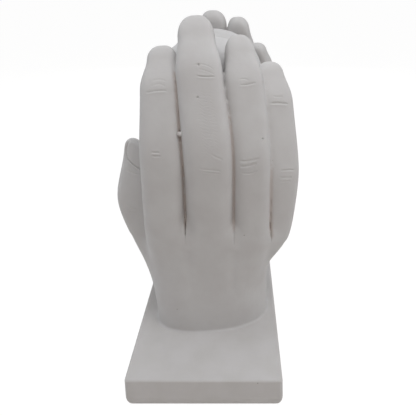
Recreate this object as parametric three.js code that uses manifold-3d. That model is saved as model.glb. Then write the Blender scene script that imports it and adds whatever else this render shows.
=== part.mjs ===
import * as THREE from 'three';
import { mergeVertices } from 'three/addons/utils/BufferGeometryUtils.js';
import Module from 'manifold-3d';

const wasm = await Module();
wasm.setup();

// Memorial hands ornament, in millimetres, +Z up.
// Two cast hands stand on a long plinth, palms facing, and hold a puffed heart between them.
// X runs across the plinth with the thumbs on the -X side, and Y runs along it, from the
// right hand at -Y to the left hand at +Y. The origin is under the middle of the plinth,
// on the surface that the ornament stands on.

// Plinth, and the felt glued under it
const plinthWidth = 82;
const plinthHeight = 18;
const plinthEndMargin = 38;
const plinthDraft = 0.8;
const plinthCornerRadius = 2;
const plinthTopEdge = 1.2;
const plinthFootEdge = 2.5;
const feltThickness = 1;
const feltInset = 5;

// Heart
const heartWidth = 105;
const heartHeight = 91;
const heartThickness = 64;
const heartFullness = 0.7;
const heartOffsetX = 2;
const heartTopAbovePlinth = 158.8;

// Hands, measured from the back of the wrist at the plinth's top. The wrist and palm are ovals
// that reach from left to right across the hand and from its back to its front.
const backToHeart = 19.5;
const wristSections = [
  { z: 0, left: -31.3, right: 35.8, back: 0, front: 45 },
  { z: 12, left: -32, right: 35.5, back: 0.3, front: 44 },
  { z: 26, left: -33, right: 35, back: 0.7, front: 41 },
  { z: 38, left: -33.5, right: 35, back: 0.6, front: 37 },
  { z: 47, left: -33.4, right: 37, back: -0.1, front: 34 },
  { z: 54, left: -32.8, right: 40.5, back: -0.4, front: 31.5 },
  { z: 60, left: -31.5, right: 42.8, back: -0.1, front: 29.5 },
  { z: 63, left: -30, right: 42.5, back: 0.8, front: 27.5 },
  { z: 66, left: -28, right: 40.5, back: 4, front: 24.5 },
  { z: 69.5, left: -25, right: 37, back: 9.5, front: 20.5 },
];
const wristSquareness = 2.4;
const fingerSquareness = 2.9;
const boneEase = 0.12;
const tipRoundness = 0.6;
const tipSquareness = 2.2;

// Each finger runs inside the palm up to the web, and on over three bones. A tilt leans a
// stretch towards the palm and a lean leans it to +X, both in degrees from upright. Widths and
// depths are those at the root, the web, the two finger joints and the start of the rounded tip.
// The roll turns the section about the finger. On the left hand the last two bones have an
// extra lean, drawnIn, and the last bone is longer by a small amount.
const fingers = [
  {
    root: [-19, 19, 34], lengths: [26.8, 45, 33, 23], tilts: [-13, -8, 14, 33],
    leans: [-5.5, 2, 0.6, 3], widths: [20, 24.5, 25, 19, 15],
    depths: [24, 25, 20, 16.5, 13], roll: 6, drawnIn: 4.5, longer: 0,
  },
  {
    root: [2.6, 18, 36], lengths: [25.6, 46.6, 39, 30], tilts: [-12.5, -9.3, 13.5, 33],
    leans: [0.5, 1.6, -6.1, -7], widths: [22, 26, 23.8, 22, 18.5],
    depths: [24, 26, 22, 18, 14.5], roll: 0, drawnIn: 2.5, longer: -2,
  },
  {
    root: [24, 19, 34], lengths: [26.6, 45, 36, 25.5], tilts: [-12, -9, 14, 31],
    leans: [2.2, -0.5, -6.3, -7], widths: [19, 21.5, 20.5, 19, 15],
    depths: [24, 25, 19.5, 16, 12.5], roll: -5, drawnIn: -0.5, longer: 4,
  },
  {
    root: [26, 20, 32], lengths: [31, 34.7, 36.5, 21], tilts: [-6, -10, 11, 29],
    leans: [22, 5, -6, -15], widths: [7, 18, 17.5, 13.5, 10.5],
    depths: [20, 21, 17, 13.5, 10.5], roll: -14, drawnIn: -4, longer: 0,
  },
];
const thumb = {
  root: [-14, 27, 10], lengths: [22, 22, 23.5, 38], tilts: [-3, -3, 3, 12],
  leans: [-27, -27, -17, 12], widths: [26, 23, 19.7, 20.5, 18.5],
  depths: [25, 22, 18, 17, 14], roll: 0, drawnIn: 0, longer: 0,
};

// Dowels, in holes with a small clearance
const fitClearance = 0.3;
const wristDowelDiameter = 8;
const wristDowelInHand = 30;
const wristDowelInPlinth = 10;
const wristDowelSpacing = 30;
const wristDowelDepth = 22;
const heartPinDiameter = 5;
const heartPinInHand = 7;
const heartPinInHeart = 9;
const dowelChamfer = 0.8;

// Fineness of the curved forms
const weldDistance = 1e-4;
const fingerSides = 16;
const fingerRings = 19;
const tipRings = [0.42, 0.7, 0.89, 0.98];
const wristSides = 36;
const heartSides = 44;
const heartRings = 18;
const dowelSides = 16;
const cornerSteps = 4;
const footSteps = 3;
const topSteps = 2;

const plinthTop = feltThickness + plinthHeight;
const wristBackY = heartWidth / 2 + backToHeart;
const plinthLength = 2 * (wristBackY + plinthEndMargin);

// A closed body through rings of points, each ring with the same count, from first to last
function loft(rings) {
  const count = rings[0].length;
  const points = rings.flat();
  const first = new THREE.Vector3();
  const last = new THREE.Vector3();
  rings[0].forEach((point) => first.add(point));
  rings[rings.length - 1].forEach((point) => last.add(point));
  const bottom = points.push(first.divideScalar(count)) - 1;
  const top = points.push(last.divideScalar(count)) - 1;
  const faces = [];
  for (let side = 0; side < count; side += 1) {
    const next = (side + 1) % count;
    faces.push(bottom, next, side);
    for (let ring = 0; ring < rings.length - 1; ring += 1) {
      const low = ring * count;
      const high = low + count;
      faces.push(low + side, low + next, high + next);
      faces.push(low + side, high + next, high + side);
    }
    const end = (rings.length - 1) * count;
    faces.push(end + side, end + next, top);
  }
  const geometry = new THREE.BufferGeometry().setFromPoints(points);
  geometry.setIndex(faces);
  return geometry;
}

// One ring of a superellipse, turning from the side axis towards the front axis
function oval(centre, side, front, halfWidth, halfDepth, squareness, count) {
  const ring = [];
  for (let i = 0; i < count; i += 1) {
    const angle = (2 * Math.PI * i) / count;
    const across = Math.sign(Math.cos(angle)) * Math.abs(Math.cos(angle)) ** (2 / squareness);
    const along = Math.sign(Math.sin(angle)) * Math.abs(Math.sin(angle)) ** (2 / squareness);
    ring.push(centre.clone()
      .addScaledVector(side, across * halfWidth)
      .addScaledVector(front, along * halfDepth));
  }
  return ring;
}

// A merged, closed solid for joining and cutting
function solid(geometry) {
  const plain = geometry.clone();
  plain.deleteAttribute('normal');
  plain.deleteAttribute('uv');
  const merged = mergeVertices(plain, weldDistance);
  const vertProperties = new Float32Array(merged.attributes.position.array);
  const triVerts = new Uint32Array(merged.index.array);
  return new wasm.Manifold(new wasm.Mesh({ numProp: 3, vertProperties, triVerts }));
}

function geometryOf(manifold) {
  const mesh = manifold.getMesh();
  const geometry = new THREE.BufferGeometry();
  geometry.setAttribute('position', new THREE.BufferAttribute(mesh.vertProperties, 3));
  geometry.setIndex(new THREE.BufferAttribute(mesh.triVerts, 1));
  return geometry;
}

// The same body seen in a mirror across the XZ plane, with its faces still pointing out
function mirrored(geometry) {
  const copy = geometry.clone().scale(1, -1, 1);
  const index = copy.index.array;
  for (let i = 0; i < index.length; i += 3) {
    [index[i], index[i + 1]] = [index[i + 1], index[i]];
  }
  return copy;
}

// A point on the way along a list of values, blended smoothly from one to the next
function blend(values, places, at) {
  let stage = 0;
  while (stage < places.length - 2 && at > places[stage + 1]) stage += 1;
  const share = THREE.MathUtils.smoothstep(at, places[stage], places[stage + 1]);
  return THREE.MathUtils.lerp(values[stage], values[stage + 1], share);
}

// The joints of a finger, from its root to its tip
function fingerJoints(finger, isLeft) {
  const joints = [new THREE.Vector3(...finger.root)];
  finger.lengths.forEach((length, part) => {
    const extraLean = isLeft && part > 1 ? finger.drawnIn : 0;
    const extraLength = isLeft && part === finger.lengths.length - 1 ? finger.longer : 0;
    const tilt = THREE.MathUtils.degToRad(finger.tilts[part]);
    const lean = THREE.MathUtils.degToRad(finger.leans[part] + extraLean);
    const direction = new THREE.Vector3(Math.tan(lean), Math.tan(tilt), 1).normalize();
    joints.push(joints[part].clone().addScaledVector(direction, length + extraLength));
  });
  return joints;
}

// A finger is a loft along its bones, with an oval section that tapers to a rounded tip
function fingerGeometry(finger, isLeft) {
  const joints = fingerJoints(finger, isLeft);
  const path = [joints[0]];
  for (let part = 0; part < finger.lengths.length; part += 1) {
    path.push(joints[part].clone().lerp(joints[part + 1], boneEase));
    path.push(joints[part].clone().lerp(joints[part + 1], 1 - boneEase));
  }
  path.push(joints[finger.lengths.length]);
  const curve = new THREE.CatmullRomCurve3(path, false, 'centripetal');
  const reach = curve.getLength();
  const [inPalm, first, second] = finger.lengths;
  const tipRound = finger.depths[4] * tipRoundness;
  const places = [0, inPalm, inPalm + first, inPalm + first + second, reach - tipRound];
  const roll = THREE.MathUtils.degToRad(finger.roll);
  const stations = [];
  for (let i = 0; i <= fingerRings; i += 1) {
    stations.push({ at: (i / fingerRings) * (reach - tipRound), scale: 1 });
  }
  for (const part of tipRings) {
    const scale = (1 - part ** tipSquareness) ** (1 / tipSquareness);
    stations.push({ at: reach - tipRound + part * tipRound, scale });
  }
  const rings = stations.map(({ at, scale }) => {
    const centre = curve.getPointAt(at / reach);
    const along = curve.getTangentAt(at / reach);
    const side = new THREE.Vector3(1, 0, 0).addScaledVector(along, -along.x).normalize();
    side.applyAxisAngle(along, -roll);
    const front = new THREE.Vector3().crossVectors(along, side);
    const halfWidth = (blend(finger.widths, places, at) / 2) * scale;
    const halfDepth = (blend(finger.depths, places, at) / 2) * scale;
    return oval(centre, side, front, halfWidth, halfDepth, fingerSquareness, fingerSides);
  });
  return loft(rings);
}

function wristGeometry() {
  const side = new THREE.Vector3(1, 0, 0);
  const front = new THREE.Vector3(0, 1, 0);
  const rings = wristSections.map(({ z, left, right, back, front: face }) => {
    const centre = new THREE.Vector3((left + right) / 2, (back + face) / 2, z);
    return oval(centre, side, front, (right - left) / 2, (face - back) / 2, wristSquareness, wristSides);
  });
  return loft(rings);
}

// Heart outline in its own plane, across and up, from its lowest point at the bottom
function heartPoint(turn) {
  const across = Math.sin(turn) ** 3;
  const up = 13 * Math.cos(turn) - 5 * Math.cos(2 * turn) - 2 * Math.cos(3 * turn) - Math.cos(4 * turn);
  return { across, up: up / 29 };
}

// A puffed heart: its outline shrinks towards both faces by a rounded law
function heartGeometry(grow) {
  const width = heartWidth / 2 + grow;
  const height = heartHeight + 2 * grow;
  const thickness = heartThickness / 2 + grow;
  const rings = [];
  for (let i = 1; i < heartRings; i += 1) {
    const way = (2 * i) / heartRings - 1;
    const share = Math.sin((Math.PI / 2) * (1 - Math.abs(way)));
    const out = Math.sign(way) * Math.sqrt(1 - share ** (2 / heartFullness));
    const ring = [];
    for (let k = 0; k < heartSides; k += 1) {
      const { across, up } = heartPoint((2 * Math.PI * k) / heartSides);
      ring.push(new THREE.Vector3(
        out * thickness,
        across * width * share,
        up * height * share,
      ));
    }
    rings.push(ring.reverse());
  }
  return loft(rings);
}

function dowelGeometry(diameter, length) {
  const radius = diameter / 2;
  const profile = [
    new THREE.Vector2(0, 0),
    new THREE.Vector2(radius - dowelChamfer, 0),
    new THREE.Vector2(radius, dowelChamfer),
    new THREE.Vector2(radius, length - dowelChamfer),
    new THREE.Vector2(radius - dowelChamfer, length),
    new THREE.Vector2(0, length),
  ];
  return new THREE.LatheGeometry(profile, dowelSides).rotateX(Math.PI / 2);
}

// A rounded rectangle on the XY plane at one height
function roundedRectangle(width, length, radius, z) {
  const ring = [];
  const corners = [[1, 1, 0], [-1, 1, 1], [-1, -1, 2], [1, -1, 3]];
  for (const [signX, signY, quarter] of corners) {
    for (let step = 0; step <= cornerSteps; step += 1) {
      const angle = (quarter + step / cornerSteps) * (Math.PI / 2);
      ring.push(new THREE.Vector3(
        signX * (width / 2 - radius) + Math.cos(angle) * radius,
        signY * (length / 2 - radius) + Math.sin(angle) * radius,
        z,
      ));
    }
  }
  return ring;
}

// The plinth's outline at its top, set in by an even margin
function plinthRing(inset, radius, z) {
  return roundedRectangle(plinthWidth - 2 * inset, plinthLength - 2 * inset, radius, z);
}

function plinthSpread(z) {
  return plinthDraft * (1 - z / plinthHeight);
}

// A slab whose sides spread a little from its top to its foot, for its mould, and whose edges
// turn in at the foot and, less, at the top
function plinthGeometry() {
  const rings = [];
  for (let step = 0; step <= footSteps; step += 1) {
    const angle = ((step / footSteps) * Math.PI) / 2;
    const inset = plinthFootEdge * (1 - Math.sin(angle));
    const z = plinthFootEdge * (1 - Math.cos(angle));
    rings.push(plinthRing(inset - plinthSpread(z), plinthCornerRadius, z));
  }
  for (let step = 0; step <= topSteps; step += 1) {
    const angle = ((step / topSteps) * Math.PI) / 2;
    const inset = plinthTopEdge * (1 - Math.cos(angle));
    const z = plinthHeight - plinthTopEdge * (1 - Math.sin(angle));
    rings.push(plinthRing(inset - plinthSpread(z), plinthCornerRadius, z));
  }
  return loft(rings);
}

function feltGeometry() {
  const inset = plinthFootEdge + feltInset;
  return loft([0, feltThickness].map((z) => plinthRing(inset, plinthCornerRadius, z)));
}

// Where the heart and the dowels are, seen from the middle of the plinth's top. The heart's
// pins are level with its widest place.
const heartForm = heartGeometry(0);
heartForm.computeBoundingBox();
const heartZ = heartTopAbovePlinth - heartForm.boundingBox.max.z;
const pinZ = heartZ + heartHeight * heartPoint(Math.PI / 2).up;
const pinOuterEnd = heartWidth / 2 + heartPinInHand;
const dowelPlaces = [-wristDowelSpacing / 2, wristDowelSpacing / 2];
const dowelY = wristBackY - wristDowelDepth;

function wristHole(x, y) {
  const length = wristDowelInHand + wristDowelInPlinth + 2 * fitClearance;
  return dowelGeometry(wristDowelDiameter + 2 * fitClearance, length)
    .translate(x, y, -wristDowelInPlinth - fitClearance);
}

// The hole of the right hand's pin, which runs through the seam between hand and heart
function pinHole() {
  const length = heartPinInHand + heartPinInHeart + 2 * fitClearance;
  return dowelGeometry(heartPinDiameter + 2 * fitClearance, length)
    .rotateX(-Math.PI / 2)
    .translate(heartOffsetX, -pinOuterEnd - fitClearance, pinZ);
}

// A hand with its back at -Y, standing on the plane z = 0 with its wrist's back at y = 0
function handSolid(isLeft) {
  let hand = solid(wristGeometry());
  for (const finger of [...fingers, thumb]) {
    hand = hand.add(solid(fingerGeometry(finger, isLeft)));
  }
  const seat = heartGeometry(fitClearance).translate(heartOffsetX, wristBackY, heartZ);
  hand = hand.subtract(solid(seat));
  hand = hand.subtract(solid(pinHole().translate(0, wristBackY, 0)));
  for (const x of dowelPlaces) {
    hand = hand.subtract(solid(wristHole(x, wristDowelDepth)));
  }
  return hand;
}

function heartSolid() {
  const heart = solid(heartGeometry(0).translate(heartOffsetX, 0, heartZ));
  return heart.subtract(solid(pinHole())).subtract(solid(mirrored(pinHole())));
}

function plinthSolid() {
  let plinth = solid(plinthGeometry().translate(0, 0, -plinthHeight));
  for (const x of dowelPlaces) {
    for (const y of [-dowelY, dowelY]) {
      plinth = plinth.subtract(solid(wristHole(x, y)));
    }
  }
  return plinth;
}

const plaster = () => new THREE.MeshStandardMaterial({ color: '#d9d6d3', roughness: 0.9, metalness: 0 });
const steel = () => new THREE.MeshStandardMaterial({ color: '#a9abad', roughness: 0.4, metalness: 1 });
const felt = () => new THREE.MeshStandardMaterial({ color: '#c9c6c0', roughness: 1, metalness: 0 });

function piece(name, geometry, material) {
  const mesh = new THREE.Mesh(geometry, material);
  mesh.name = name;
  return mesh;
}

const ornament = new THREE.Group();
ornament.name = 'memorial_hands';
ornament.add(piece('base_felt', feltGeometry(), felt()));

const onPlinth = new THREE.Group();
onPlinth.position.z = plinthTop;
ornament.add(onPlinth);
onPlinth.add(piece('plinth', geometryOf(plinthSolid()), plaster()));
onPlinth.add(piece('held_heart', geometryOf(heartSolid()), plaster()));

const rightHand = piece('right_hand', geometryOf(handSolid(false)), plaster());
rightHand.position.y = -wristBackY;
const leftHand = piece('left_hand', mirrored(geometryOf(handSolid(true))), plaster());
leftHand.position.y = wristBackY;
onPlinth.add(rightHand, leftHand);

for (const [hand, sign] of [['right', -1], ['left', 1]]) {
  for (const x of dowelPlaces) {
    const where = x < 0 ? 'thumb_side' : 'outer_side';
    const length = wristDowelInHand + wristDowelInPlinth;
    const dowel = piece(`${hand}_wrist_dowel_${where}`, dowelGeometry(wristDowelDiameter, length), steel());
    dowel.position.set(x, sign * dowelY, -wristDowelInPlinth);
    onPlinth.add(dowel);
  }
  const pinLength = heartPinInHand + heartPinInHeart;
  const pin = piece(`${hand}_heart_pin`, dowelGeometry(heartPinDiameter, pinLength), steel());
  pin.rotation.x = (sign * Math.PI) / 2;
  pin.position.set(heartOffsetX, sign * pinOuterEnd, pinZ);
  onPlinth.add(pin);
}

export default ornament;
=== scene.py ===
import math

import bmesh
import bpy
import numpy as np
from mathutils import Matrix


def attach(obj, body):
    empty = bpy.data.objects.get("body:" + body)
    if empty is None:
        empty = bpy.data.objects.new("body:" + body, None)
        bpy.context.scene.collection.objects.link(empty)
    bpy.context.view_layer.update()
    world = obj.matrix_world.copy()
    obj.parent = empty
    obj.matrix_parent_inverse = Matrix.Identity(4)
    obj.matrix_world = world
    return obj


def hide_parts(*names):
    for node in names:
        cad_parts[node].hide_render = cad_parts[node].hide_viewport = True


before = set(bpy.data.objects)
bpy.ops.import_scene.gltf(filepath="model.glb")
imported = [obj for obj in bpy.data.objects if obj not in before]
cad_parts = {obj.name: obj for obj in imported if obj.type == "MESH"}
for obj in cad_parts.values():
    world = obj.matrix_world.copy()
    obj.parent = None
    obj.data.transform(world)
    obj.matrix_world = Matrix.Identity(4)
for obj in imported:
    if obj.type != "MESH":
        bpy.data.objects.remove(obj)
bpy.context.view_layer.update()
scene = bpy.context.scene


# Camera
# It looks down at the back of the right hand, from a little to the right of the plinth's
# middle line. The lens is shifted, because the ornament stands left of the picture's middle.
picture_width = 416
lens_pixels = 450
shift_pixels = 32
sensor_width = 36
camera_place = (0.0189, -0.2792, 0.2006)
degrees_below_level = 26
camera_data = bpy.data.cameras.new("camera")
camera_data.sensor_width = sensor_width
camera_data.lens = sensor_width * lens_pixels / picture_width
camera_data.shift_x = -shift_pixels / picture_width
camera_data.clip_start = 0.01
camera = bpy.data.objects.new("camera", camera_data)
camera.location = camera_place
camera.rotation_euler = (math.radians(90 - degrees_below_level), 0, 0)
scene.collection.objects.link(camera)
scene.camera = camera


# Studio
# A soft lamp hangs close above the fingertips, so that light falls off down the hands. Cooler
# panels stand at both sides, and weaker lamps in front and behind. The floor shows white.
lamp_target = np.array((0, 0, 0.1))
floor_half = 30.0
floor_glow_share = 0.88


def linear(hex_colour):
    """A colour written as sRGB hex, as the linear values that a shader takes"""
    parts = [int(hex_colour[i:i + 2], 16) / 255 for i in (1, 3, 5)]
    return (*[p / 12.92 if p <= 0.04045 else ((p + 0.055) / 1.055) ** 2.4 for p in parts], 1)


def add_node(tree, kind, inputs=None, **settings):
    """One node with its settings; inputs are values or the sockets to link from"""
    node = tree.nodes.new(kind)
    for name, value in settings.items():
        setattr(node, name, value)
    for name, value in (inputs or {}).items():
        if isinstance(value, bpy.types.NodeSocket):
            tree.links.new(value, node.inputs[name])
        else:
            node.inputs[name].default_value = value
    return node


def soft_lamp(name, place, size, watts, colour):
    """A square area lamp that faces the middle of the ornament"""
    data = bpy.data.lights.new(name, "AREA")
    data.size = size
    data.energy = watts
    data.color = linear(colour)[:3]
    lamp = bpy.data.objects.new(name, data)
    lamp.location = place
    aim = lamp_target - place
    lamp.rotation_euler = (math.atan2(math.hypot(aim[0], aim[1]), -aim[2]), 0,
                           math.atan2(-aim[0], aim[1]))
    scene.collection.objects.link(lamp)


soft_lamp("overhead_softbox", (0.05, -0.1, 0.7), 0.6, 2.25, "#f8fbff")
soft_lamp("front_fill", (0, -0.75, 0.75), 0.6, 0.95, "#fff5ef")
soft_lamp("front_right_softbox", (0.6, -0.5, 0.7), 0.6, 1.4, "#fffaf7")
soft_lamp("left_panel", (-0.9, 0.0, 0.3), 0.7, 2.1, "#f1f7ff")
soft_lamp("right_panel", (0.9, -0.05, 0.32), 0.7, 1.15, "#eef6ff")
soft_lamp("back_panel", (0, 0.9, 0.45), 0.7, 1.5, "#ffffff")


def shown_to_eye(tree):
    """1 for what the camera sees, also in gloss or through glass, and 0 for what gives light"""
    path = add_node(tree, "ShaderNodeLightPath").outputs
    either = add_node(tree, "ShaderNodeMath",
                      {0: path["Is Camera Ray"], 1: path["Is Glossy Ray"]}, operation="MAXIMUM")
    seen = add_node(tree, "ShaderNodeMath",
                    {0: either.outputs[0], 1: path["Is Transmission Ray"]}, operation="MAXIMUM")
    return seen.outputs[0]


def new_material(name):
    """An empty material, and its node tree"""
    material = bpy.data.materials.new(name)
    material.use_nodes = True
    material.node_tree.nodes.clear()
    return material, material.node_tree


room = bpy.data.worlds.new("studio_room")
scene.world = room
room.use_nodes = True
room_tree = room.node_tree
room_tree.nodes.clear()
dim = add_node(room_tree, "ShaderNodeBackground", {"Color": linear("#fdf9f6"), "Strength": 0.14})
white = add_node(room_tree, "ShaderNodeBackground", {"Color": (1, 1, 1, 1), "Strength": 1.0})
chosen = add_node(room_tree, "ShaderNodeMixShader", {
    0: shown_to_eye(room_tree), 1: dim.outputs[0], 2: white.outputs[0]})
add_node(room_tree, "ShaderNodeOutputWorld", {"Surface": chosen.outputs[0]})

floor_paper, paper_tree = new_material("pale_studio_paper")
paper = add_node(paper_tree, "ShaderNodeBsdfDiffuse", {"Color": linear("#eeeae6")})
glow = add_node(paper_tree, "ShaderNodeEmission", {"Color": (1, 1, 1, 1), "Strength": 1.1})
lifted = add_node(paper_tree, "ShaderNodeMixShader", {
    0: floor_glow_share, 1: paper.outputs[0], 2: glow.outputs[0]})
shown = add_node(paper_tree, "ShaderNodeMixShader", {
    0: shown_to_eye(paper_tree), 1: paper.outputs[0], 2: lifted.outputs[0]})
add_node(paper_tree, "ShaderNodeOutputMaterial", {"Surface": shown.outputs[0]})

floor_mesh = bpy.data.meshes.new("floor")
floor_mesh.from_pydata([(x * floor_half, y * floor_half, 0) for x, y in
                        ((-1, -1), (1, -1), (1, 1), (-1, 1))], [], [(0, 1, 2, 3)])
floor = bpy.data.objects.new("floor", floor_mesh)
floor_mesh.materials.append(floor_paper)
scene.collection.objects.link(floor)


# Plinth
# A long slab of casting plaster, poured face down in a mould, so that its top and sides are
# smooth and its lower edge is rounded where the mould was filled. All sizes are in millimetres.
plinth_width = 82
plinth_height = 18
plinth_draft = 0.8
plinth_corner = 2
plinth_top_edge = 1.2
plinth_foot_edge = 2.8
plinth_foot_rise = 6.5
plinth_edge_steps = 8
plinth_top_steps = 6
felt_thickness = 1
# The back of each wrist stands this far outside the heart's side, and the slab's end past it
heart_width = 105
back_to_heart = 19.5
end_margin = 38
wrist_back = heart_width / 2 + back_to_heart
plinth_length = 2 * (wrist_back + end_margin)
plinth_top = felt_thickness + plinth_height
# The plaster's mottling, its slow waves, its grain and the cells that its air pores lie in
mottle_size = 14
wave_size = 6
grain_size = 0.45
pore_cell = 3.5


def piece_from(name, points, faces):
    """An object at the origin whose mesh holds points given in millimetres"""
    mesh = bpy.data.meshes.new(name)
    mesh.from_pydata((np.asarray(points) / 1000).tolist(), [], faces)
    mesh.polygons.foreach_set("use_smooth", [True] * len(mesh.polygons))
    piece = bpy.data.objects.new(name, mesh)
    scene.collection.objects.link(piece)
    return piece


def ring_faces(rings, count):
    """Faces between rings of equally many points, and a flat cap at each end"""
    faces = [tuple(reversed(range(count)))]
    for ring in range(rings - 1):
        low = ring * count
        for side in range(count):
            after = (side + 1) % count
            faces.append((low + side, low + after, low + count + after, low + count + side))
    faces.append(tuple(range((rings - 1) * count, rings * count)))
    return faces


def rounded_rectangle(width, length, z):
    """One outline of the slab at a height"""
    ring = []
    for quarter, (sign_x, sign_y) in enumerate(((1, 1), (-1, 1), (-1, -1), (1, -1))):
        x, y = sign_x * (width / 2 - plinth_corner), sign_y * (length / 2 - plinth_corner)
        for step in range(plinth_edge_steps + 1):
            angle = (quarter + step / plinth_edge_steps) * math.pi / 2
            ring.append((x + math.cos(angle) * plinth_corner,
                         y + math.sin(angle) * plinth_corner, z))
    return ring


def cast_plaster(name, colour, shade, grain_depth, pore_share, painted_slot_shade=None):
    """White casting plaster: matte, faintly mottled, with a fine grain and small air pores"""
    plaster, tree = new_material(name)
    place = add_node(tree, "ShaderNodeTexCoord").outputs["Object"]
    # Mottling, where the plaster dried unevenly
    mottle = add_node(tree, "ShaderNodeTexNoise", {
        "Vector": place, "Scale": 1000 / mottle_size, "Detail": 3.0})
    blotch = add_node(tree, "ShaderNodeMapRange", {
        "Value": mottle.outputs["Fac"], "From Min": 0.35, "From Max": 0.68})
    body = add_node(tree, "ShaderNodeMix",
                    {0: blotch.outputs[0], 6: linear(colour), 7: linear(shade)}, data_type="RGBA")
    if painted_slot_shade:
        # Painted shade: the slots between the fingers are tinted darker and brownish, standing in
        # for the shade deep in them
        deep = add_node(tree, "ShaderNodeAttribute", attribute_name="painted_slot_shade")
        body = add_node(tree, "ShaderNodeMix",
                        {0: deep.outputs["Fac"], 6: body.outputs[2], 7: linear(painted_slot_shade)},
                        data_type="RGBA")
    # Air pores about half a millimetre across, in cells of which most are empty
    cells = add_node(tree, "ShaderNodeTexVoronoi", {"Vector": place, "Scale": 1000 / pore_cell})
    dot = add_node(tree, "ShaderNodeMapRange", {
        "Value": cells.outputs["Distance"], "From Min": 0.05, "From Max": 0.11, "To Min": 1.0,
        "To Max": 0.0})
    picked = add_node(tree, "ShaderNodeSeparateColor", {"Color": cells.outputs["Color"]})
    chosen = add_node(tree, "ShaderNodeMath", {0: picked.outputs[0], 1: pore_share},
                      operation="LESS_THAN")
    pore = add_node(tree, "ShaderNodeMath", {0: dot.outputs[0], 1: chosen.outputs[0]},
                    operation="MULTIPLY")
    # The pores are darkened in colour: painted shade inside these small hollows
    pore_shaded = add_node(tree, "ShaderNodeMix",
                     {0: pore.outputs[0], 6: body.outputs[2], 7: linear("#8d8883")},
                     data_type="RGBA")
    # The grain of set plaster, drawn a little coarser than it is so that it shows
    grain = add_node(tree, "ShaderNodeTexNoise", {
        "Vector": place, "Scale": 1000 / grain_size, "Detail": 4.0, "Roughness": 0.6})
    wave = add_node(tree, "ShaderNodeTexNoise", {
        "Vector": place, "Scale": 1000 / wave_size, "Detail": 2.0})
    rough = add_node(tree, "ShaderNodeMapRange", {
        "Value": grain.outputs["Fac"], "To Min": 0.72, "To Max": 0.88})
    wavy = add_node(tree, "ShaderNodeBump", {
        "Height": wave.outputs["Fac"], "Strength": 0.5, "Distance": 0.00035})
    grained = add_node(tree, "ShaderNodeBump", {
        "Height": grain.outputs["Fac"], "Normal": wavy.outputs[0], "Strength": 0.6,
        "Distance": grain_depth / 1000})
    pitted = add_node(tree, "ShaderNodeBump",
                      {"Height": pore.outputs[0], "Normal": grained.outputs[0],
                       "Strength": 0.8, "Distance": 0.0002}, invert=True)
    surface = add_node(tree, "ShaderNodeBsdfPrincipled", {
        "Base Color": pore_shaded.outputs[2], "Roughness": rough.outputs[0],
        "Normal": pitted.outputs[0], "IOR": 1.5, "Specular IOR Level": 0.35})
    add_node(tree, "ShaderNodeOutputMaterial", {"Surface": surface.outputs[0]})
    return plaster


def slab_piece():
    """A slab with rounded edges that spreads towards its foot, so that it leaves the mould"""
    rings = []
    for step in range(plinth_edge_steps + 1):
        angle = step / plinth_edge_steps * math.pi / 2
        rings.append((plinth_foot_edge * (1 - math.sin(angle)),
                      plinth_foot_rise * (1 - math.cos(angle))))
    for step in range(plinth_top_steps + 1):
        angle = step / plinth_top_steps * math.pi / 2
        rings.append((plinth_top_edge * (1 - math.cos(angle)),
                      plinth_height - plinth_top_edge * (1 - math.sin(angle))))
    outlines = []
    for turned_in, height in rings:
        inset = turned_in - plinth_draft * (1 - height / plinth_height)
        outlines.append(rounded_rectangle(plinth_width - 2 * inset, plinth_length - 2 * inset,
                                          felt_thickness + height))
    count = len(outlines[0])
    points = [point for outline in outlines for point in outline]
    return piece_from("plinth_slab", points, ring_faces(len(outlines), count))


plinth = slab_piece()
plinth.data.materials.append(cast_plaster("casting_plaster_slab", "#cecccb", "#c9c7c5",
                                          grain_depth=0.03, pore_share=0.05))
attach(plinth, "root")
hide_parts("plinth")


# Base felt
# A sheet of pressed felt glued under the plinth, so that the plaster doesn't scratch a shelf.
tuft_size = 1.2


def pressed_felt():
    """Pale wool felt: hardly any sheen, and short fibres pressed flat in all directions"""
    felt, tree = new_material("pressed_felt")
    place = add_node(tree, "ShaderNodeTexCoord").outputs["Object"]
    fibres = add_node(tree, "ShaderNodeTexNoise", {
        "Vector": place, "Scale": 1000 / tuft_size, "Detail": 6.0, "Roughness": 0.7,
        "Distortion": 1.5})
    tone = add_node(tree, "ShaderNodeMix",
                    {0: fibres.outputs["Fac"], 6: linear("#bdb9b2"), 7: linear("#d2cec7")},
                    data_type="RGBA")
    nap = add_node(tree, "ShaderNodeBump", {
        "Height": fibres.outputs["Fac"], "Strength": 0.8, "Distance": 0.0002})
    surface = add_node(tree, "ShaderNodeBsdfPrincipled", {
        "Base Color": tone.outputs[2], "Roughness": 0.95, "Normal": nap.outputs[0],
        "Specular IOR Level": 0.1, "Sheen Weight": 0.3})
    add_node(tree, "ShaderNodeOutputMaterial", {"Surface": surface.outputs[0]})
    return felt


base_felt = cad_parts["base_felt"]
base_felt.data.materials.clear()
base_felt.data.materials.append(pressed_felt())


# Dowels and pins
# Drawn steel rod, cut and chamfered. Two dowels hold each wrist to the plinth and one pin holds
# each hand to the heart; they are sealed inside the plaster.
def drawn_steel():
    """Bright drawn steel: fine lines along the rod, and a soft highlight"""
    steel, tree = new_material("drawn_steel")
    place = add_node(tree, "ShaderNodeTexCoord").outputs["Object"]
    # Lines a quarter of a millimetre apart and some 17 mm long
    lines = add_node(tree, "ShaderNodeMapping", {"Vector": place, "Scale": (4000, 4000, 60)})
    drawn = add_node(tree, "ShaderNodeTexNoise", {
        "Vector": lines.outputs[0], "Scale": 1.0, "Detail": 2.0})
    rough = add_node(tree, "ShaderNodeMapRange", {
        "Value": drawn.outputs["Fac"], "To Min": 0.28, "To Max": 0.42})
    surface = add_node(tree, "ShaderNodeBsdfPrincipled", {
        "Base Color": linear("#a9abad"), "Metallic": 1.0, "Roughness": rough.outputs[0]})
    add_node(tree, "ShaderNodeOutputMaterial", {"Surface": surface.outputs[0]})
    return steel


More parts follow.
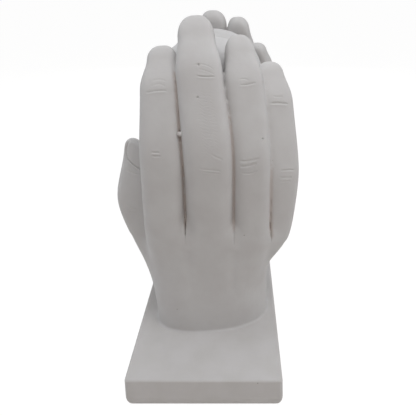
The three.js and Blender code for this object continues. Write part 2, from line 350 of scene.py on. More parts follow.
rod_steel = drawn_steel()
rod_endings = ("_dowel_thumb_side", "_dowel_outer_side", "_heart_pin")
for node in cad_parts:
    if node.endswith(rod_endings):
        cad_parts[node].data.materials.clear()
        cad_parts[node].data.materials.append(rod_steel)


# Heart
# A puffed heart of casting plaster, held between the fingers of both hands. Its outline is the
# usual heart curve, which shrinks towards both faces by a rounded law.
heart_height = 91
heart_thickness = 64
heart_fullness = 0.7
heart_offset_x = 2
heart_top = 158.8
heart_sides = 192
heart_rings = 96
rod_sides = 24
fit_clearance = 0.3
pin_diameter = 5
pin_in_hand = 7
pin_in_heart = 9
wrist_dowel_diameter = 8
wrist_dowel_in_hand = 30
wrist_dowel_in_plinth = 10
wrist_dowel_spacing = 30
wrist_dowel_depth = 22
# A face whose normal comes this near to an axis is flat, and not part of a rounded edge
level_normal = 0.9999
upright_normal = 0.995


def heart_up(turn):
    """How high the usual heart curve is, as a share of its height, at a turn from its cleft"""
    return (13 * np.cos(turn) - 5 * np.cos(2 * turn) - 2 * np.cos(3 * turn) - np.cos(4 * turn)) / 29


def heart_form(grow):
    """Points and faces of the heart, grown outwards by a clearance"""
    turn = np.arange(heart_sides) * 2 * math.pi / heart_sides
    rings = []
    for ring in range(1, heart_rings):
        way = 2 * ring / heart_rings - 1
        share = math.sin(math.pi / 2 * (1 - abs(way)))
        out = math.copysign(math.sqrt(1 - share ** (2 / heart_fullness)), way)
        rings.append(np.stack([np.full(heart_sides, out * (heart_thickness / 2 + grow)),
                               np.sin(turn) ** 3 * (heart_width / 2 + grow) * share,
                               heart_up(turn) * (heart_height + 2 * grow) * share], 1)[::-1])
    points = np.concatenate(rings)
    return points, ring_faces(len(rings), heart_sides)


heart_points, heart_faces = heart_form(0)
heart_lift = plinth_top + heart_top - heart_points[:, 2].max()
pin_level = heart_lift + heart_height * float(heart_up(math.pi / 2))


def rod_form(diameter, start, end):
    """A closed round bar between two points along Y or Z"""
    start, end = np.array(start, float), np.array(end, float)
    along = (end - start) / np.linalg.norm(end - start)
    side = np.array((1.0, 0, 0))
    front = np.cross(along, side)
    turn = np.arange(rod_sides) * 2 * math.pi / rod_sides
    ring = (np.outer(np.cos(turn), side) + np.outer(np.sin(turn), front)) * diameter / 2
    return np.concatenate([start + ring, end + ring]), ring_faces(2, rod_sides)


def cut(piece, *forms):
    """Takes closed forms, in millimetres, out of a piece"""
    for points, faces in forms:
        tool = piece_from("cutter", points, faces)
        modifier = piece.modifiers.new("cut", "BOOLEAN")
        modifier.operation = "DIFFERENCE"
        modifier.object = tool
        # The quick solver leaves the mesh as it was where it can't cut, and the slow one takes over
        for solver in ("MANIFOLD", "EXACT"):
            modifier.solver = solver
            bpy.context.view_layer.update()
            graph = bpy.context.evaluated_depsgraph_get()
            result = bpy.data.meshes.new_from_object(piece.evaluated_get(graph))
            if len(result.vertices) != len(piece.data.vertices):
                break
        piece.modifiers.clear()
        kept = [material for material in result.materials if material]
        result.materials.clear()
        for material in kept:
            result.materials.append(material)
        piece.data = result
        bpy.data.objects.remove(tool)


def pin_hole(sign):
    """The hole for a heart pin, in one hand and the heart, on the -Y or +Y side"""
    near = heart_width / 2 - pin_in_heart - fit_clearance
    far = heart_width / 2 + pin_in_hand + fit_clearance
    return rod_form(pin_diameter + 2 * fit_clearance, (heart_offset_x, sign * near, pin_level),
                    (heart_offset_x, sign * far, pin_level))


def wrist_hole(x, y):
    """The hole for one wrist dowel, in the plinth and the wrist"""
    low = plinth_top - wrist_dowel_in_plinth - fit_clearance
    high = plinth_top + wrist_dowel_in_hand + fit_clearance
    return rod_form(wrist_dowel_diameter + 2 * fit_clearance, (x, y, low), (x, y, high))


dowel_y = wrist_back - wrist_dowel_depth
dowel_xs = (-wrist_dowel_spacing / 2, wrist_dowel_spacing / 2)
cut(plinth, *[wrist_hole(x, y) for x in dowel_xs for y in (-dowel_y, dowel_y)])
# The slab's top, base and sides are flat, and only its edges are rounded
for face in plinth.data.polygons:
    height = face.center.z * 1000 - felt_thickness
    on_side = plinth_foot_rise < height < plinth_height - plinth_top_edge
    upright = max(abs(face.normal.x), abs(face.normal.y)) > upright_normal
    if abs(face.normal.z) > level_normal or (on_side and upright):
        face.use_smooth = False

held_heart = piece_from("puffed_heart", heart_points + (heart_offset_x, 0, heart_lift), heart_faces)
cut(held_heart, pin_hole(-1), pin_hole(1))
held_heart.data.materials.append(cast_plaster("casting_plaster_heart", "#cdcccc", "#c8c7c6",
                                              grain_depth=0.02, pore_share=0.03))
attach(held_heart, "root")
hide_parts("held_heart")


# Hands
# Each hand is one plaster casting of a real hand, so it has the bends, folds and nails of one.
# Every finger is a squarish round form along its bones, over a wrist and palm of oval sections.
# The forms are joined as a field of distances, and the skin is the surface where it is zero.
# A hand is measured with its back at -Y, its wrist's back at y = 0 and the plinth's top at z = 0.
skin_steps = np.array(((0.9, 1.05, 0.95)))
field_low = (-56.0, -8.0, -3.0)
field_high = (54.0, 50.0, 176.0)
# The wrist and palm: heights, and where their sides, their back and their front are there
wrist_sections = {
    "z": (0, 12, 26, 38, 47, 54, 60, 64, 68, 72, 76),
    "left": (-31.3, -32, -33, -33.5, -33.1, -31.6, -29.8, -27.6, -26.2, -25.5, -25),
    "right": (35.8, 35.5, 35, 35, 37, 40.5, 42.8, 41.5, 38, 36.5, 35.5),
    "back": (0, 0.3, 0.7, 0.6, -0.1, -0.4, -0.2, 0.5, 1.9, 4.0, 7.0),
    "front": (45, 44, 41, 37, 34, 31.5, 29.5, 25, 21, 18.5, 16.5),
}
section_span = (-6, 90)
section_step = 0.5
section_ease_steps = 13
palm_top_round = 4
foot_fillet = 1.6
wrist_squareness = 2.4
# The wrist stands a little turned: its thumb side comes forward, by this much for each millimetre
# left of this place, at the foot, and by nothing at this height
wrist_turn = 0.13
wrist_turn_x = 8
wrist_turn_top = 44
# A finger starts at its root inside the palm. Each bone has a length, and a tilt forwards and a
# lean to the right in degrees. The widths, depths and squareness are those at the bones' ends.
# On the left hand the last two bones lean more, by "drawn_in", and the last one is longer.
finger_squareness = (2.5, 2.8, 3.2, 4.0, 3.6)
tip_squareness = 2.05
bone_ease = 0.12
span_steps = 20
line_step = 0.75
fingers = {
    "index": {"root": (-19, 19, 34), "lengths": (26.8, 45, 33, 23), "tilts": (-13, -8, 14, 33),
              "leans": (-5.5, 2.6, 0.6, 1.8), "widths": (20, 23.0, 22.4, 19.7, 14.8),
              "depths": (24, 25, 20, 16.5, 13), "roll": 6, "dome": 0.66, "slant": 0,
              "drawn_in": 4.5, "longer": 0},
    "middle": {"root": (2.6, 18, 36), "lengths": (25.6, 46.6, 39, 29.5),
               "tilts": (-12.5, -9.3, 13.5, 33), "leans": (0.5, 0.9, -6.0, -6.1),
               "widths": (22, 26, 25.2, 22.2, 17.9), "depths": (24, 26, 22, 18, 14.5),
               "roll": 0, "dome": 0.85, "slant": 0, "drawn_in": 3.1, "longer": -2},
    "ring": {"root": (24, 19, 34), "lengths": (26.6, 45, 36, 25.5), "tilts": (-12, -9, 14, 31),
             "leans": (2.2, -0.9, -5.8, -8.6), "widths": (19, 21.2, 19.6, 19, 14.8),
             "depths": (24, 25, 19.5, 16, 12.5), "roll": -5, "dome": 0.85, "slant": 0,
             "drawn_in": -0.5, "longer": 4},
    "little": {"root": (26, 20, 32), "lengths": (31, 34.7, 36.5, 21), "tilts": (-6, -10, 11, 29),
               "leans": (22, 3.6, -4.65, -15), "widths": (7, 18.2, 18.6, 15.9, 13.4),
               "depths": (20, 21, 17, 13.5, 10.5), "roll": -14, "dome": 0.7, "slant": 0,
               "drawn_in": -4, "longer": 0},
    "thumb": {"root": (-14, 27, 10), "lengths": (21.8, 21.8, 26.8, 30.4), "tilts": (-3, -3, 3, 12),
              "leans": (-25.9, -25.9, -15.5, 10.4), "widths": (26, 23, 19.7, 20.5, 18.5),
              "depths": (25, 22, 18, 17, 14), "roll": 0, "dome": 0.62, "slant": 0.7,
              "drawn_in": 0, "longer": 0},
}
# Slots between neighbouring fingers: heights above the plinth, the slot's half widths there, and
# its depth, measured from slot_base behind the fingers' middle lines. A slot is cut within
# slot_reach of its fingers, and its edges are rounded over slot_edge.
slots = {
    ("index", "middle"): ((56, 58.5, 65, 77, 95, 110, 125, 150),
                          (-0.6, 0, 0.16, 0.18, 0.2, 0.18, 0.14, 0.1), 6.0),
    ("middle", "ring"): ((57, 59.5, 63, 66, 70, 105, 125, 150),
                         (-0.6, 0, 0.24, 0.24, 0.14, 0.12, 0.1, 0.1), 5.0),
    ("ring", "little"): ((56, 58.5, 62, 66, 72, 105, 125, 150),
                         (-0.6, 0, 0.18, 0.18, 0.12, 0.08, 0.05, 0.05), 4.5),
}
slot_base = 12
slot_reach = 8
slot_edge = 0.6
# A slot's painted shade, a darker tint standing in for shade, is full up to the first distance
# outside its walls and above its floor, and gone from the second on, this far below its floor and
# this far from its fingers. It fades where the slot is narrower than the given half width.
shade_from_walls = (0.25, 0.8)
shade_above_floor = (1.5, 4.5)
shade_below_floor = 1
shade_half_width = 0.15
tint_reach = 4
# A bead of plaster that ran out of a bubble in the mould, in the right hand's first slot
bead_radius = 1.2
bead_place = (-9.8, 0.7, 119.4)
# How far apart two forms may be where the joint between them is still rounded
finger_blend = 0.5
palm_blend = 3.0
bead_blend = 0.3
thumb_blend_heights = (0, 45, 62)
thumb_blends = (7, 6, 0.5)
# A finger's field is worked out within this distance of its middle line's box, for so many
# points at a time. Inside a form, the ratio of an oval is taken to be no less than this.
field_reach = 16
far_away = 30.0
batch_size = 20000
least_ratio = 0.02
# The palm's field is smoothed between these heights, over this length, and cut off below the
# plinth's top. Where it isn't smoothed, the skin's points are moved onto the field's zero.
smooth_heights = (2, 8, 54, 61)
smooth_length = 8
field_bottom = -1.8
exact_above = 53
exact_ease = 6
exact_below = 2
slope_step = 0.05
least_steepness = 0.3
largest_move = 0.6
# The skin is four times finer where it has marks, at the wrist's foot and at the slots' lower
# ends, which are below this height and this near to the slots' middles
fine_cuts = 3
foot_margin = 0.4
slot_end_top = 68
slot_end_aside = 1.0


def rising(value, start, end):
    """0 up to the start, 1 from the end on, and smooth between them"""
    share = np.clip((value - start) / (end - start), 0, 1)
    return share * share * (3 - 2 * share)


def bent_line(path):
    """A smooth line through the points of a path, by centripetal Catmull-Rom spans"""
    path = np.array(path, float)
    ends = [2 * path[0] - path[1], *path, 2 * path[-1] - path[-2]]
    t = np.linspace(0, 1, span_steps, endpoint=False)[:, None]
    spans = []
    for before, start, end, after in zip(ends, ends[1:], ends[2:], ends[3:]):
        first, mid, last = (math.sqrt(np.linalg.norm(q - p)) for p, q in
                            ((before, start), (start, end), (end, after)))
        leave = (start - before) / first - (end - before) / (first + mid) + (end - start) / mid
        arrive = (end - start) / mid - (after - start) / (mid + last) + (after - end) / last
        leave, arrive = leave * mid, arrive * mid
        spans.append(start + leave * t + (3 * (end - start) - 2 * leave - arrive) * t ** 2
                     + (2 * (start - end) + leave + arrive) * t ** 3)
    return np.concatenate(spans + [path[-1:]])


def unit(vectors):
    """Vectors made one long"""
    return vectors / np.linalg.norm(vectors, axis=-1, keepdims=True)


def finger_line(finger, is_left):
    """A finger's middle line, with its cross axes and half sizes, in steps along it"""
    joints = [np.array(finger["root"], float)]
    for part, length in enumerate(finger["lengths"]):
        extra_lean = finger["drawn_in"] if is_left and part > 1 else 0
        extra_length = finger["longer"] if is_left and part > 2 else 0
        tilt = math.tan(math.radians(finger["tilts"][part]))
        lean = math.tan(math.radians(finger["leans"][part] + extra_lean))
        joints.append(joints[-1] + unit(np.array((lean, tilt, 1.0))) * (length + extra_length))
    path = [joints[0]]
    for start, end in zip(joints, joints[1:]):
        path += [start + (end - start) * bone_ease, end + (start - end) * bone_ease]
    rough = bent_line(path + [joints[-1]])
    passed = np.concatenate([[0], np.cumsum(np.linalg.norm(np.diff(rough, axis=0), axis=1))])
    along = np.linspace(0, passed[-1], int(passed[-1] / line_step))
    line = np.stack([np.interp(along, passed, rough[:, axis]) for axis in range(3)], 1)
    tangent = unit(np.gradient(line, axis=0))
    side = unit(np.array((1.0, 0, 0)) - tangent * tangent[:, :1])
    roll = math.radians(-finger["roll"])
    side = side * math.cos(roll) + np.cross(tangent, side) * math.sin(roll)
    tip = finger["depths"][-1] * finger["dome"]
    stops = np.array([0, *np.cumsum(finger["lengths"][:3]), passed[-1] - tip])
    stage = np.clip(np.searchsorted(stops, along, side="right") - 1, 0, len(stops) - 2)
    share = rising(along, stops[stage], stops[stage + 1])
    sizes = np.array([finger["widths"], finger["depths"], finger_squareness])
    width, depth, squareness = sizes[:, stage] + (sizes[:, stage + 1] - sizes[:, stage]) * share
    return {"along": along, "line": line, "tangent": tangent, "side": side,
            "front": np.cross(tangent, side), "half_width": width / 2, "half_depth": depth / 2,
            "squareness": squareness, "reach": passed[-1], "tip": tip, "slant": finger["slant"]}


def line_at(line, name, along):
    """A finger's middle line, or one of its axes, at distances along it"""
    held = np.clip(along, 0, line["reach"])
    return np.stack([np.interp(held, line["along"], line[name][:, axis]) for axis in range(3)], 1)


def finger_place(line, points):
    """Where points lie on a finger: along it, across it, and from its middle to its front"""
    middles = line["line"]
    batches = np.array_split(points, len(points) // batch_size + 1)
    nearest = np.concatenate([np.argmin((middles ** 2).sum(1) - 2 * batch @ middles.T, axis=1)
                              for batch in batches])
    further = ((points - middles[nearest]) * line["tangent"][nearest]).sum(1)
    along = line["along"][nearest] + further
    offset = points - line_at(line, "line", along)
    across = (offset * line_at(line, "side", along)).sum(1)
    return along, across, (offset * line_at(line, "front", along)).sum(1)


def oval_distance(across, deep, beyond, squareness):
    """Distance to an oval, by ratio; the first three inputs are (offset, half size)"""
    ratio = (np.abs(across[0] / across[1]) ** squareness
             + np.abs(deep[0] / deep[1]) ** squareness) ** (tip_squareness / squareness)
    ratio = (ratio + (beyond[0] / beyond[1]) ** tip_squareness) ** (1 / tip_squareness)
    reach = np.sqrt(across[0] ** 2 + deep[0] ** 2 + beyond[0] ** 2)
    return reach * (1 - 1 / np.maximum(ratio, least_ratio))


def finger_distance(line, points):
    """Distance to a finger's own form"""
    along, across, deep = finger_place(line, points)
    held = np.clip(along, 0, line["reach"])
    half_width, half_depth, squareness = [np.interp(held, line["along"], line[name]) for name in
                                          ("half_width", "half_depth", "squareness")]
    end = along + line["slant"] * np.clip(across, -half_width, half_width)
    beyond = np.maximum(end - (line["reach"] - line["tip"]), 0) + np.maximum(-along, 0)
    return oval_distance((across, half_width), (deep, half_depth), (beyond, line["tip"]),
                         squareness)


def palm_distance(points):
    """Distance to the wrist and palm, whose sections are eased from one to the next"""
    heights = np.arange(*section_span, section_step)
    ease = np.ones(section_ease_steps) / section_ease_steps
    sizes = []
    for name in ("left", "right", "back", "front"):
        drawn = np.interp(heights, wrist_sections["z"], wrist_sections[name])
        padded = np.pad(drawn, section_ease_steps // 2, mode="edge")
        eased = np.convolve(padded, ease, mode="valid")
        sizes.append(np.interp(points[:, 2], heights, eased))
    # The seam on the plinth is filled with plaster and rounded with a fingertip
    flare = foot_fillet - np.clip(points[:, 2], 0, foot_fillet)
    flare = foot_fillet - np.sqrt(foot_fillet ** 2 - flare ** 2)
    left, back = sizes[0] - flare, sizes[2] - flare
    right, front = sizes[1] + flare, sizes[3] + flare
    turned = wrist_turn * (1 - rising(points[:, 2], 0, wrist_turn_top))
    forward = turned * (wrist_turn_x - np.clip(points[:, 0], left, right))
    beyond = np.maximum(points[:, 2] - (wrist_sections["z"][-1] - palm_top_round), 0)
    return oval_distance((points[:, 0] - (left + right) / 2, (right - left) / 2),
                         (points[:, 1] + forward - (back + front) / 2, (front - back) / 2),
                         (beyond, palm_top_round), wrist_squareness)


def blended(one, other, reach):
    """The nearer of two distances, rounded where both are within reach of each other"""
    close = np.maximum(reach - np.abs(one - other), 0) / reach
    return np.minimum(one, other) - close * close * reach / 4


def slot_places(lines, found, pair, points):
    """For a slot: how far points lie from its middle, its half width and its floor's level"""
    heights, half_widths, depth = slots[pair]
    z = points[:, 2]
    aside = np.abs(found[pair[0]] - found[pair[1]]) / 2
    middles = [lines[name]["line"] for name in pair]
    middle_y = sum(np.interp(z, middle[:, 2], middle[:, 1]) for middle in middles) / 2
    return aside, np.interp(z, heights, half_widths), middle_y - slot_base + depth


def near_finger(line, points):
    """True for points that are so near to a finger that its field matters"""
    low, high = line["line"].min(0) - field_reach, line["line"].max(0) + field_reach
    return np.all((points > low) & (points < high), axis=1)


def finger_distances(lines, points):
    """Distances to each finger's own form, by finger"""
    found = {}
    for name, line in lines.items():
        near = near_finger(line, points)
        found[name] = np.full(len(points), far_away)
        if near.any():
            found[name][near] = finger_distance(line, points[near])
    return found


def hand_distance(lines, points):
    """Distance to a hand's skin: below 0 inside it"""
    found = finger_distances(lines, points)
    distance = found["index"]
    for name in ("middle", "ring", "little"):
        distance = blended(distance, found[name], finger_blend)
    distance = blended(distance, palm_distance(points), palm_blend)
    for pair in slots:
        aside, half_width, floor_y = slot_places(lines, found, pair, points)
        carved = np.minimum(half_width - aside, floor_y - points[:, 1])
        nearest = np.minimum(found[pair[0]], found[pair[1]])
        carved = np.where(nearest < slot_reach, carved, -far_away)
        distance = -blended(-distance, -carved, slot_edge)
    for bead in lines["index"]["beads"]:
        bead_distance = np.linalg.norm(points - bead, axis=1) - bead_radius
        distance = blended(distance, bead_distance, bead_blend)
    thumb_blend = np.interp(points[:, 2], thumb_blend_heights, thumb_blends)
    return blended(distance, found["thumb"], thumb_blend)


def slot_shade_shares(lines, points):
    """Painted slot shade: 1 where points of the skin lie deep in a slot between fingers, and 0
    elsewhere
    """
    found = finger_distances(lines, points)
    deep = np.zeros(len(points))
    for pair in slots:
        aside, half_width, floor_y = slot_places(lines, found, pair, points)
        inside = 1 - rising(aside, half_width + shade_from_walls[0], half_width + shade_from_walls[1])
        low = rising(points[:, 1] - floor_y, -shade_above_floor[1], -shade_above_floor[0])
        low = low * (points[:, 1] < floor_y + shade_below_floor)
        low = np.where(np.maximum(found[pair[0]], found[pair[1]]) < tint_reach, low, 0)
        deep = np.maximum(deep, inside * low * rising(half_width, 0, shade_half_width))
    return deep


def slot_ends(lines, points):
    """True for points of the skin by the lower ends of the slots"""
    by_end = (points[:, 2] > exact_above) & (points[:, 2] < slot_end_top)
    some = points[by_end]
    found = finger_distances(lines, some)
    close = []
    for pair in slots:
        aside = slot_places(lines, found, pair, some)[0]
        farther = np.maximum(found[pair[0]], found[pair[1]])
        close.append((aside < slot_end_aside) & (farther < tint_reach))
    by_end[by_end] = np.any(close, axis=0)
    return by_end


def smoothed(values, passes):
    """The field blurred by a light filter along each axis, some passes over"""
    for _ in range(passes):
        for axis in range(3):
            rows = np.moveaxis(values, axis, 0)
            lower = np.concatenate([rows[:1], rows[:-1]])
            upper = np.concatenate([rows[1:], rows[-1:]])
            values = np.moveaxis(rows / 2 + (lower + upper) / 4, 0, axis)
    return values


def zero_surface(values, low, steps):
    """A closed mesh of quads where a sampled field passes through zero"""
    shape = np.array(values.shape)
    cells = shape - 1
    total = np.zeros((*cells, 3))
    count = np.zeros(cells)
    crossings = []
    for axis in range(3):
        start = np.take(values, range(shape[axis] - 1), axis)
        end = np.take(values, range(1, shape[axis]), axis)
        crossed = (start < 0) != (end < 0)
        spot = np.argwhere(crossed)
        share = start[crossed] / (start[crossed] - end[crossed])
        where = spot.astype(float)
        where[:, axis] += share
        quad = []
        for back_first, back_second in ((0, 0), (1, 0), (1, 1), (0, 1)):
            cell = spot.copy()
            cell[:, (axis + 1) % 3] -= back_first
            cell[:, (axis + 2) % 3] -= back_second
            quad.append(cell)
            np.add.at(total, tuple(cell.T), where)
            np.add.at(count, tuple(cell.T), 1)
        crossings.append((quad, start[crossed] < 0))
    used = count > 0
    number = np.full(cells, -1)
    number[used] = np.arange(used.sum())
    points = total[used] / count[used][:, None] * steps + low
    faces = []
    for quad, leaving in crossings:
        corners = np.stack([number[tuple(cell.T)] for cell in quad], 1)
        corners[~leaving] = corners[~leaving][:, ::-1]
        faces.append(corners)
    return points, np.concatenate(faces)


def settled(lines, points):
    """Points above the knuckles and at the foot moved onto the skin along the field's slope"""
    points = points.copy()
    exact = (points[:, 2] > exact_above) | (points[:, 2] < exact_below)
    some = points[exact]
    share = np.maximum(rising(some[:, 2], exact_above, exact_above + exact_ease),
                       some[:, 2] < exact_below)
    for _ in range(2):
        here = hand_distance(lines, some)
        slope = np.stack([hand_distance(lines, some + step) - here
                          for step in np.eye(3) * slope_step], 1) / slope_step
        steepness = np.maximum((slope ** 2).sum(1), least_steepness)
        move = share * np.clip(here, -largest_move, largest_move) / steepness
        some = some - slope * move[:, None]
    points[exact] = some
    return points


def hand_skin(is_left):
    """The closed skin of a hand, as points and quads, with its fingers' lines"""
    axes = [np.arange(*ends) for ends in zip(field_low, field_high, skin_steps)]
    lines = {name: finger_line(finger, is_left) for name, finger in fingers.items()}
    lines["index"]["beads"] = [] if is_left else [np.array(bead_place)]
    points = np.stack(np.meshgrid(*axes, indexing="ij"), -1).reshape(-1, 3)
    field = hand_distance(lines, points).reshape([len(axis) for axis in axes])
    share = np.interp(axes[2], smooth_heights, (0, 1, 1, 0))
    smooth = smoothed(field, int(smooth_length / skin_steps[0]))
    field = np.maximum(field * (1 - share) + smooth * share, field_bottom - axes[2])
    points, faces = zero_surface(field, field_low, skin_steps)
    return settled(lines, points), faces, lines


# Folds over the finger joints: points (x, z) along each on the right hand's back, from left to
# right, then its depth and its half thickness. Each has a soft ridge below and above it.
folds = {
    "index": (
        ((-22.2, 141.9), (-19.5, 142.4), (-15.5, 141.6), 0.10, 0.28),
        ((-22.6, 140.0), (-19.5, 140.6), (-16.0, 139.9), 0.08, 0.28),
        ((-25.5, 137.4), (-20.3, 138.0), (-15.5, 138.0), 0.20, 0.30),
        ((-23.4, 111.0), (-21.6, 110.8), (-19.8, 111.1), 0.22, 0.30),
        ((-23.2, 109.4), (-21.3, 109.0), (-19.4, 109.4), 0.28, 0.30)),
    "middle": (
        ((-2.8, 149.4), (2.3, 149.6), (6.6, 148.0), 0.10, 0.24),
        ((-0.2, 147.9), (4.0, 147.1), (6.6, 146.2), 0.11, 0.24),
        ((-0.8, 145.3), (3.2, 144.9), (7.2, 145.1), 0.30, 0.28),
        ((5.6, 110.8), (7.9, 109.7), (10.5, 108.7), 0.20, 0.32),
        ((-0.4, 103.8), (4.4, 103.4), (9.4, 102.7), 0.22, 0.34),
        ((0.5, 102.3), (5.4, 101.8), (9.2, 101.4), 0.18, 0.32)),
    "ring": (
        ((18.7, 142.8), (20.6, 143.1), (22.5, 142.9), 0.14, 0.28),
        ((19.1, 140.6), (22.5, 140.9), (26.5, 141.8), 0.22, 0.30),
        ((18.9, 106.7), (23.3, 107.0), (28.1, 108.2), 0.30, 0.34),
        ((18.9, 103.9), (23.3, 104.7), (26.7, 105.7), 0.34, 0.36),
        ((19.9, 100.8), (23.8, 100.6), (27.2, 101.8), 0.26, 0.34)),
    "little": (
        ((34.6, 134.2), (36.9, 134.1), (39.5, 134.5), 0.18, 0.30),
        ((33.6, 131.3), (37.9, 131.4), (42.5, 131.1), 0.34, 0.34),
        ((39.5, 99.7), (42.5, 99.9), (46.3, 99.4), 0.28, 0.34),
        ((38.9, 96.2), (42.1, 96.0), (45.3, 96.1), 0.28, 0.34),
        ((39.5, 94.0), (42.0, 93.9), (44.5, 94.0), 0.14, 0.38)),
    "thumb": (
        ((-43.0, 93.0), (-39.5, 90.9), (-35.0, 90.1), 0.22, 0.34),
        ((-44.0, 73.9), (-41.5, 72.2), (-38.5, 71.4), 0.24, 0.36),
        ((-44.5, 71.0), (-41.8, 69.6), (-39.0, 69.3), 0.18, 0.36)),
}
# Casting pits, (x, z) on the back, by finger
pits = {"middle": ((-0.3, 149.5), (-0.8, 136.3)), "ring": ((29.7, 117.3),)}
pit_radius = 0.42
pit_depth = 0.8
# How far round a fold, a pit and the thumb's nail the skin is fine
fold_margin = 1.3
pit_margin = 1.6
nail_margin = 1.5
# Nails: the middle along and across the finger, the half length and half width, and the depth
nails = {
    "thumb": (94.1, -0.4, 5.8, 7.2, 0.8),
    "index": (118.5, 0.0, 6.2, 5.0, 0.035),
    "middle": (131.0, 0.0, 7.2, 6.0, 0.035),
    "ring": (123.5, 0.0, 6.4, 5.0, 0.035),
    "little": (114.5, 0.0, 5.2, 3.7, 0.035),
}
nail_squareness = 2.8
# A patch of fine ripples on the middle finger's back, between its joints
ripple_places = ((2, 141), (5, 107))
ripple_half_width = 6.0
ripple_height = 0.024
ripple_fade = 0.15
# A mark is made on skin that is this near to its finger's own form and faces the finger's back
mark_reach = 0.8


def back_places(line, points):
    """Along and across a finger, for places (x, z) on its back"""
    points = np.array(points, float)
    back = np.interp(points[:, 1], line["line"][:, 2], line["line"][:, 1] - line["half_depth"])
    along, across, _ = finger_place(line, np.stack([points[:, 0], back, points[:, 1]], 1))
    return along, across


def fold_mark(fold, own_line, along, across):
    """How far a fold raises the skin, and where it is"""
    *points, depth, half = fold
    fold_along, fold_across = back_places(own_line, points)
    bow = np.polyfit(fold_across, fold_along, 2)
    above = along - np.polyval(bow, across)
    ends = (across - fold_across.mean()) / (np.ptp(fold_across) / 2)
    held = np.sqrt(np.clip(1 - ends ** 4, 0, 1))
    ridges = (0.35 * np.exp(-((above + 2.1 * half) / (1.4 * half)) ** 2)
              + 0.25 * np.exp(-((above - 2.3 * half) / (1.6 * half)) ** 2))
    raised = depth * held * (ridges - np.exp(-(above / half) ** 2))
    return raised, (np.abs(above) < fold_margin) & (np.abs(ends) < 1.1)


def pit_mark(pit, own_line, along, across):
    """How far a casting pit raises the skin, and where it is"""
    pit_along, pit_across = back_places(own_line, [pit])
    away = np.hypot(along - pit_along, across - pit_across)
    return -pit_depth * np.exp(-(away / pit_radius) ** 2), away < pit_margin


def nail_mark(name, own_line, along, across):
    """How far a nail raises the skin, with the groove and rim round it, and where it is"""
    middle, aside, half_length, half_width, depth = nails[name]
    way = (along - middle + 0.6 * own_line["slant"] * across) / half_length
    outline = (np.abs(way) ** nail_squareness
               + np.abs((across - aside) / half_width) ** nail_squareness) ** (1 / nail_squareness)
    beyond = (outline - 1) * half_width
    free = rising(way, 0.35, 0.8)
    # A groove goes round the nail with a soft rim outside it, and the free end stands out
    rim = 0.3 * np.exp(-((beyond - 0.95) / 0.55) ** 2) - np.exp(-(beyond / 0.34) ** 2)
    plate = 0.6 * (1 - rising(beyond, -0.35, 0.05))
    raised = depth * ((1 - free) * rim + free * plate)
    return raised, (np.abs(beyond) < nail_margin) & (name == "thumb")


def ripple_mark(own_line, along, across):
    """How far the ripples, 1.5 and 1 mm apart, raise the skin, and where they are"""
    ends_along, ends_across = back_places(own_line, ripple_places)
    share = (along - ends_along[0]) / (ends_along[1] - ends_along[0])
    aside = (across - np.interp(share, (0, 1), ends_across)) / ripple_half_width
    held = rising(share, 0, ripple_fade) * (1 - rising(share, 1 - ripple_fade, 1))
    held = held * np.clip(1 - aside ** 2, 0, 1)
    bent = along + 0.5 * np.sin(across * 1.1) + 0.3 * np.sin(across * 2.3 + along * 0.4)
    waves = np.sin(bent * 4.1) + 0.7 * np.sin(bent * 6.3 + across * 1.7)
    return ripple_height * held * waves, held > 0.02


def hand_marks(name, own_line, along, across):
    """How far the marks of a finger's back raise its skin, and where the skin must be fine"""
    marks = [fold_mark(fold, own_line, along, across) for fold in folds[name]]
    marks += [pit_mark(pit, own_line, along, across) for pit in pits.get(name, ())]
    marks.append(nail_mark(name, own_line, along, across))
    if name == "middle":
        marks.append(ripple_mark(own_line, along, across))
    return sum(raised for raised, _ in marks), np.any([fine for _, fine in marks], axis=0)


def finger_marks(points, facing, lines, own_lines):
    """The marks of all fingers' backs, at points of skin that faces these ways"""
    raised = np.zeros(len(points))
    fine = np.zeros(len(points), bool)
    for name, line in lines.items():
        near = near_finger(line, points) & (points[:, 2] > exact_above)
        near[near] = np.abs(finger_distance(line, points[near])) < mark_reach
        along, across, _ = finger_place(line, points[near])
        to_front = (facing[near] * line_at(line, "front", along)).sum(1)
        # In full where the skin faces within 60 degrees of the back, and not beyond 85
        turned = np.clip(-to_front * 2.5 - 0.2, 0, 1)
        marks, must = hand_marks(name, own_lines[name], along, across)
        raised[near] += marks * turned
        fine[near] |= must & (turned > 0)
    return raised, fine


def fine_faces(points, faces, lines, own_lines):
    """True for the faces of a hand's skin that have to be finer than the rest"""
    corners = points[faces]
    middles = corners.mean(1)
    facing = unit(np.cross(corners[:, 2] - corners[:, 0], corners[:, 3] - corners[:, 1]))
    _, fine = finger_marks(middles, facing, lines, own_lines)
    fine |= (middles[:, 2] < foot_fillet + foot_margin) & (middles[:, 2] > -foot_margin)
    fine |= slot_ends(lines, middles)
    for bead in lines["index"]["beads"]:
        fine |= np.linalg.norm(middles - bead, axis=1) < 2 * bead_radius
    return fine


def vertex_rows(vectors, name):
    """A mesh's vertex places or normals as rows of three"""
    rows = np.zeros(len(vectors) * 3)
    vectors.foreach_get(name, rows)
    return rows.reshape(-1, 3)


def subdivide(mesh, fine):
    """Cuts the chosen faces of a mesh finer, and the faces beside them to suit"""
    skin = bmesh.new()
    skin.from_mesh(mesh)
    skin.faces.ensure_lookup_table()
    edges = {edge for number in np.nonzero(fine)[0] for edge in skin.faces[number].edges}
    bmesh.ops.subdivide_edges(skin, edges=list(edges), cuts=fine_cuts, use_grid_fill=True)
    skin.to_mesh(mesh)
    skin.free()


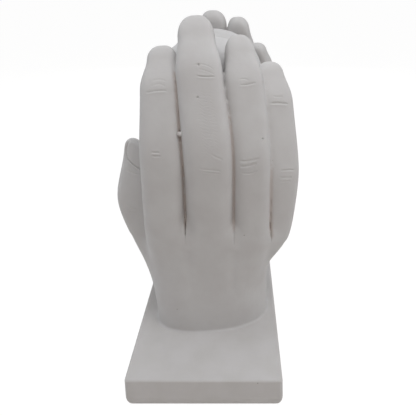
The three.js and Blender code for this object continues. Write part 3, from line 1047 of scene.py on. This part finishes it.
def cut_flat(mesh):
    """Cuts a hand off level at the plinth's top, and closes it there"""
    skin = bmesh.new()
    skin.from_mesh(mesh)
    bmesh.ops.bisect_plane(skin, geom=[*skin.verts, *skin.edges, *skin.faces], clear_inner=True,
                           plane_co=(0, 0, plinth_top / 1000), plane_no=(0, 0, 1))
    for face in skin.faces:
        face.smooth = True
    bmesh.ops.edgenet_fill(skin, edges=[edge for edge in skin.edges if edge.is_boundary])
    bmesh.ops.recalc_face_normals(skin, faces=skin.faces)
    skin.to_mesh(mesh)
    skin.free()
    mesh.update()


def hand_piece(name, is_left):
    """One hand in its place, with its marks, flat at the plinth and still without holes"""
    points, faces, lines = hand_skin(is_left)
    # The left hand has the right one's marks, which are placed on the right one's fingers
    own_lines = {finger: finger_line(fingers[finger], False) for finger in fingers}
    mesh = bpy.data.meshes.new(name)
    mesh.from_pydata(points.tolist(), [], faces.tolist())
    subdivide(mesh, fine_faces(points, faces, lines, own_lines))
    points = settled(lines, vertex_rows(mesh.vertices, "co"))
    mesh.vertices.foreach_set("co", points.ravel())
    mesh.update()
    facing = vertex_rows(mesh.vertex_normals, "vector")
    raised, _ = finger_marks(points, facing, lines, own_lines)
    points += facing * raised[:, None]
    # The slots' painted shade, a darker tint where shade falls between the fingers, kept on the
    # skin
    painted_slot_shade = mesh.attributes.new("painted_slot_shade", "FLOAT", "POINT")
    painted_slot_shade.data.foreach_set("value", slot_shade_shares(lines, points))
    mirror = -1 if is_left else 1
    placed = points * (1, mirror, 1) + (0, -mirror * wrist_back, plinth_top)
    mesh.vertices.foreach_set("co", (placed / 1000).ravel())
    cut_flat(mesh)
    piece = bpy.data.objects.new(name, mesh)
    scene.collection.objects.link(piece)
    return piece


for is_left, node in ((False, "right_hand"), (True, "left_hand")):
    hand = hand_piece("cast_" + node, is_left)
    end = 1 if is_left else -1
    seat = heart_form(fit_clearance)[0] + (heart_offset_x, 0, heart_lift)
    cut(hand, (seat, heart_faces), pin_hole(end), *[wrist_hole(x, end * dowel_y) for x in dowel_xs])
    # The hands' plaster is tinted darker in the slots between the fingers, as painted shade
    hand.data.materials.append(cast_plaster("casting_plaster_" + node, "#cecdcc", "#c9c7c6",
                                            grain_depth=0.03, pore_share=0.04, painted_slot_shade="#beb5b0"))
    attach(hand, "root")
    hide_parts(node)


scene.view_settings.view_transform = "Standard"
